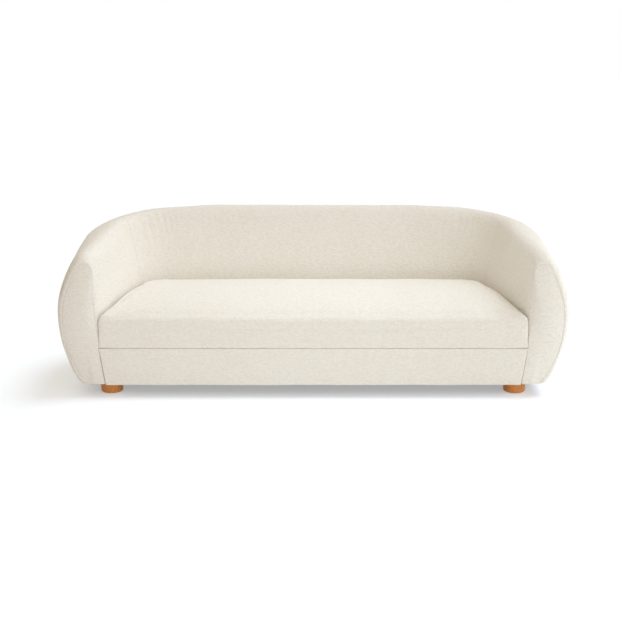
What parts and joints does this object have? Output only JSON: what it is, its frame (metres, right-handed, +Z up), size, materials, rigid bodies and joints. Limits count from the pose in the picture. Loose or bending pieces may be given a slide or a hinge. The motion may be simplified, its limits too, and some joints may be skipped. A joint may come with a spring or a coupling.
{
  "type": "sofa",
  "caption": "Barrel-shaped upholstered sofa with a rounded wall of arms and back, a loose bench seat cushion and round wooden feet.",
  "frame": {"origin": "on the floor, at the centre of the sofa's bounding box", "axes": "+X to the sitter's left along the sofa's width (right in a front view), +Y from front to back, +Z up"},
  "size_m": [2.286, 0.89, 0.755],
  "materials": {
    "upholstery_cloth": "cream looped boucle",
    "dust_cloth": "black spunbond cloth",
    "deck_cloth": "plain cream cotton",
    "foam": "open-cell foam",
    "wadding": "polyester fibre",
    "skin_board": "thin hardboard",
    "frame_timber": "birch plywood",
    "foot_wood": "oiled solid wood",
    "steel": "plain steel",
    "webbing": "elastic strap",
    "felt": "pressed felt",
    "zip_tape": "woven tape with coil teeth",
    "zip_metal": "plated zinc slider"
  },
  "bodies": {
    "sofa": {"arm_front_ribs": "frame_timber", "arm_rear_ribs": "frame_timber", "back_foam": "foam", "back_lower_rail": "frame_timber", "back_ribs": "frame_timber", "back_skin_board": "skin_board", "back_top_rail": "frame_timber", "back_wadding": "wadding", "back_webbing": "webbing", "base_cross_rails": "frame_timber", "base_front_rail": "frame_timber", "base_rear_rail": "frame_timber", "corner_blocks": "frame_timber", "corner_ribs": "frame_timber", "deck_cloth": "deck_cloth", "deck_pad": "wadding", "dust_cover": "dust_cloth", "foot_bolts": "steel", "foot_glides": "felt", "front_border_cover": "upholstery_cloth", "front_border_pad": "wadding", "front_left_foot": "foot_wood", "front_right_foot": "foot_wood", "inside_back_cover": "upholstery_cloth", "left_arm_foam": "foam", "left_arm_front_pad": "wadding", "left_arm_front_panel": "upholstery_cloth", "left_arm_skin_board": "skin_board", "left_arm_top_rail": "frame_timber", "left_arm_wadding": "wadding", "left_base_rail": "frame_timber", "left_inside_arm_cover": "upholstery_cloth", "left_outside_arm_cover": "upholstery_cloth", "left_seat_rail": "frame_timber", "outside_back_cover": "upholstery_cloth", "rear_left_foot": "foot_wood", "rear_right_foot": "foot_wood", "right_arm_foam": "foam", "right_arm_front_pad": "wadding", "right_arm_front_panel": "upholstery_cloth", "right_arm_skin_board": "skin_board", "right_arm_top_rail": "frame_timber", "right_arm_wadding": "wadding", "right_base_rail": "frame_timber", "right_inside_arm_cover": "upholstery_cloth", "right_outside_arm_cover": "upholstery_cloth", "right_seat_rail": "frame_timber", "seat_front_rail": "frame_timber", "seat_rear_rail": "frame_timber", "seat_springs": "steel", "spring_clips": "steel", "spring_tie_wire": "steel", "tee_nuts": "steel"},
    "seat_cushion": {"seat_cushion_cover": "upholstery_cloth", "seat_cushion_base_panel": "deck_cloth", "seat_cushion_topper": "wadding", "seat_cushion_core": "foam", "zip_tape": "zip_tape"},
    "zip_slider": {"zip_slider": "zip_metal"}
  },
  "joints": [
    {"name": "seat_cushion_lift", "type": "slide", "parent": "sofa", "child": "seat_cushion", "axis": [0, 0, 1], "range_m": [0, 0.56]},
    {"name": "zip_slider_run", "type": "slide", "parent": "seat_cushion", "child": "zip_slider", "axis": [-1, 0, 0], "range_m": [0, 0.72]}
  ]
}
